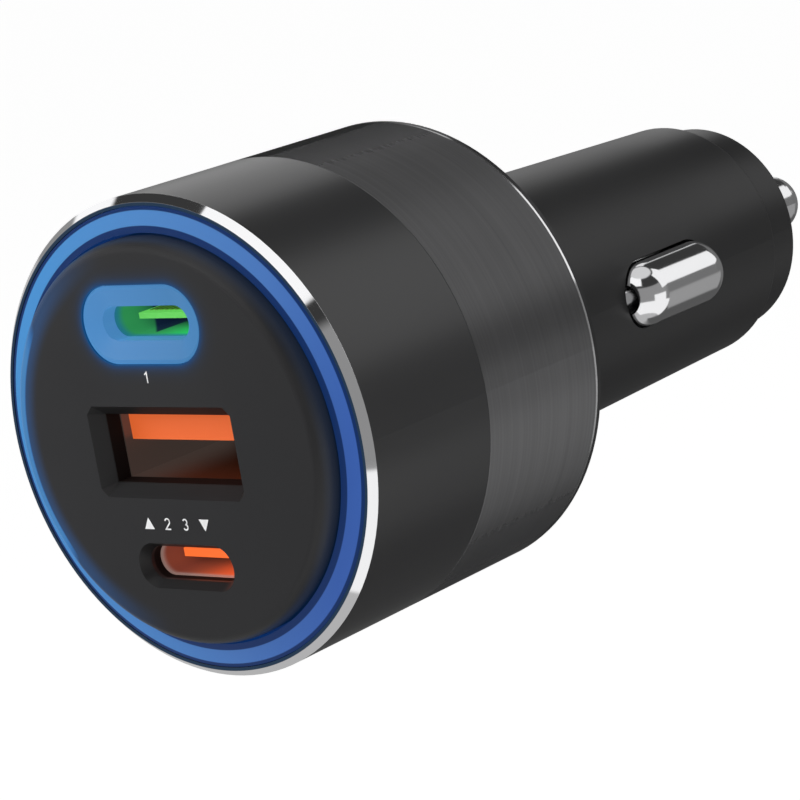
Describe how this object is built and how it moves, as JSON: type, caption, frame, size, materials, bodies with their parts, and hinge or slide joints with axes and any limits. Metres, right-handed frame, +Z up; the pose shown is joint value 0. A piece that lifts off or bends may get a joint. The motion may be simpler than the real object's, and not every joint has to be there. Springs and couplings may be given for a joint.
{
  "type": "car usb charger plug",
  "caption": "Round charger head with three ports and a lit ring on a tapered plug barrel for a 12 V vehicle socket, with sprung nose and side contacts.",
  "frame": {"origin": "on the plug's axis, at the rear shoulder of the head where the barrel starts", "axes": "+Y along the axis towards the nose contact, so the face with the ports looks towards -Y; +Z up, with the lit oval port above; +X to the right of someone who looks along +Y"},
  "size_m": [0.035, 0.0786, 0.035],
  "materials": {
    "face_black": "satin",
    "light_blue": "lit translucent",
    "sleeve_black": "satin black, polished front chamfer",
    "sleeve_turned": "fine turned lines, black, polished rear edge",
    "core_black": "matt moulded",
    "body_black": "matt moulded",
    "plated": "polished nickel plating",
    "spring_steel": "drawn wire",
    "port_steel": "stamped sheet",
    "green_plastic": "moulded",
    "orange_plastic": "moulded",
    "gold_plated": "plated",
    "board_green": "solder mask",
    "led_white": "moulded",
    "ferrite": "pressed powder",
    "can_sleeve": "shrink sleeve",
    "can_bare": "drawn",
    "chip_black": "moulded",
    "ceramic_tan": "fired",
    "ceramic_white": "fired"
  },
  "bodies": {
    "charger": {"face_plate": "face_black", "light_ring": "light_blue", "port_light": "light_blue", "front_sleeve": "sleeve_black", "rear_sleeve": "sleeve_turned", "head_core": "core_black", "plug_body": "body_black", "end_cap": "body_black", "nose_spring": "spring_steel", "right_spring": "spring_steel", "left_spring": "spring_steel", "top_port_shell": "port_steel", "top_port_insert": "green_plastic", "top_port_pins": "gold_plated", "middle_port_shell": "port_steel", "middle_port_insert": "orange_plastic", "middle_port_pins": "gold_plated", "bottom_port_shell": "port_steel", "bottom_port_insert": "orange_plastic", "bottom_port_pins": "gold_plated", "led_board": "board_green", "leds": "led_white", "led_link_pins": "gold_plated", "port_board": "board_green", "main_board": "board_green", "upper_inductor": "ferrite", "lower_inductor": "ferrite", "input_capacitor": "can_sleeve", "output_capacitor": "can_bare", "power_transistors": "chip_black", "controller_chip": "chip_black", "chip_capacitors": "ceramic_tan", "fuse": "ceramic_white", "right_ground_pad": "gold_plated", "left_ground_pad": "gold_plated", "battery_pad": "gold_plated"},
    "nose": {"nose_contact": "plated"},
    "right_side": {"right_contact": "plated"},
    "left_side": {"left_contact": "plated"}
  },
  "joints": [
    {"name": "nose_slide", "type": "slide", "parent": "charger", "child": "nose", "axis": [0, -1, 0], "range_m": [0, 0.004], "stiffness_N_per_m": 1500, "springref_m": -0.002, "deforming": ["nose_spring"]},
    {"name": "right_slide", "type": "slide", "parent": "charger", "child": "right_side", "axis": [-1, 0, 0], "range_m": [0, 0.0022], "stiffness_N_per_m": 800, "springref_m": -0.002, "deforming": ["right_spring"]},
    {"name": "left_slide", "type": "slide", "parent": "charger", "child": "left_side", "axis": [1, 0, 0], "range_m": [0, 0.0022], "stiffness_N_per_m": 800, "springref_m": -0.002, "deforming": ["left_spring"]}
  ]
}
